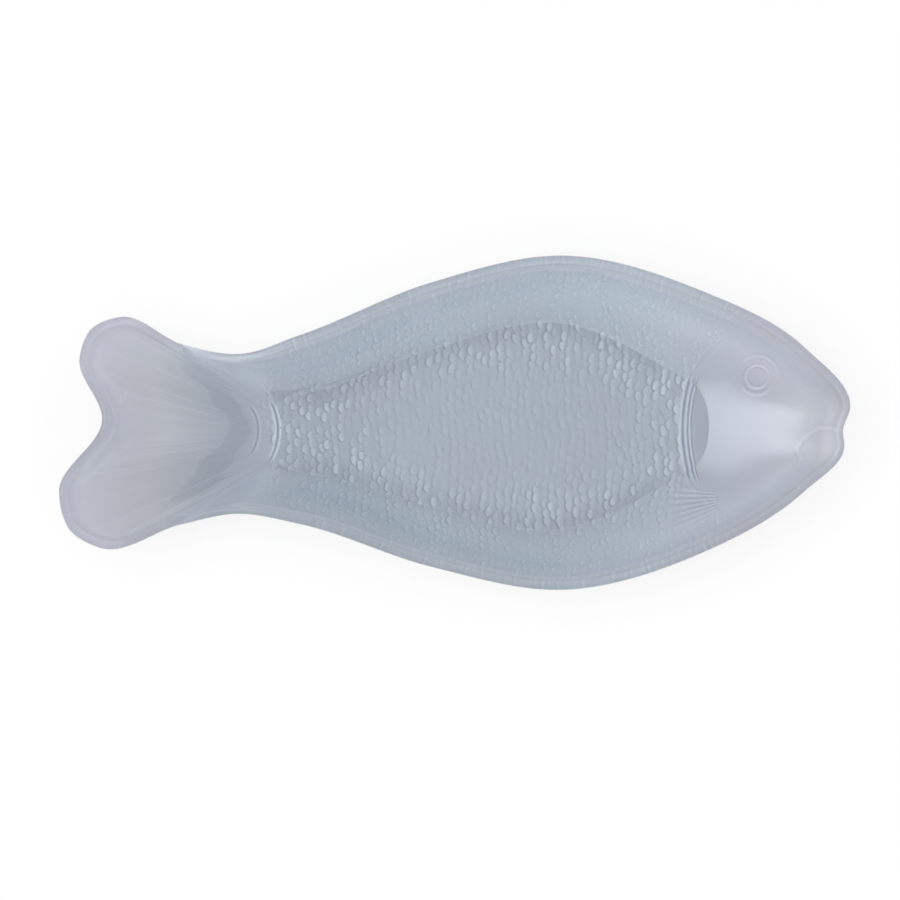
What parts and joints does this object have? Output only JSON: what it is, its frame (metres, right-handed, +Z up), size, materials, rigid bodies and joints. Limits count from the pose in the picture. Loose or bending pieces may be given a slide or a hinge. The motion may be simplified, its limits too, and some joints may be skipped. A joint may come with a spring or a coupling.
{
  "type": "fish-shaped glass serving tray",
  "caption": "Long fish-shaped pressed-glass serving dish with a wavy raised rim, an upturned forked tail and a pearl lacquer on its back.",
  "frame": {"origin": "middle of the outline's box, on the table the dish stands on", "axes": "+X from the tail to the mouth along the length, +Y to the fish's back, +Z up out of the dish"},
  "size_m": [0.4, 0.17, 0.0504],
  "materials": {
    "clear_glass": "clear gloss",
    "pearl_lacquer": "satin pearl"
  },
  "bodies": {
    "root": {"glass_dish": "clear_glass", "pearl_back_coat": "pearl_lacquer"}
  },
  "joints": []
}
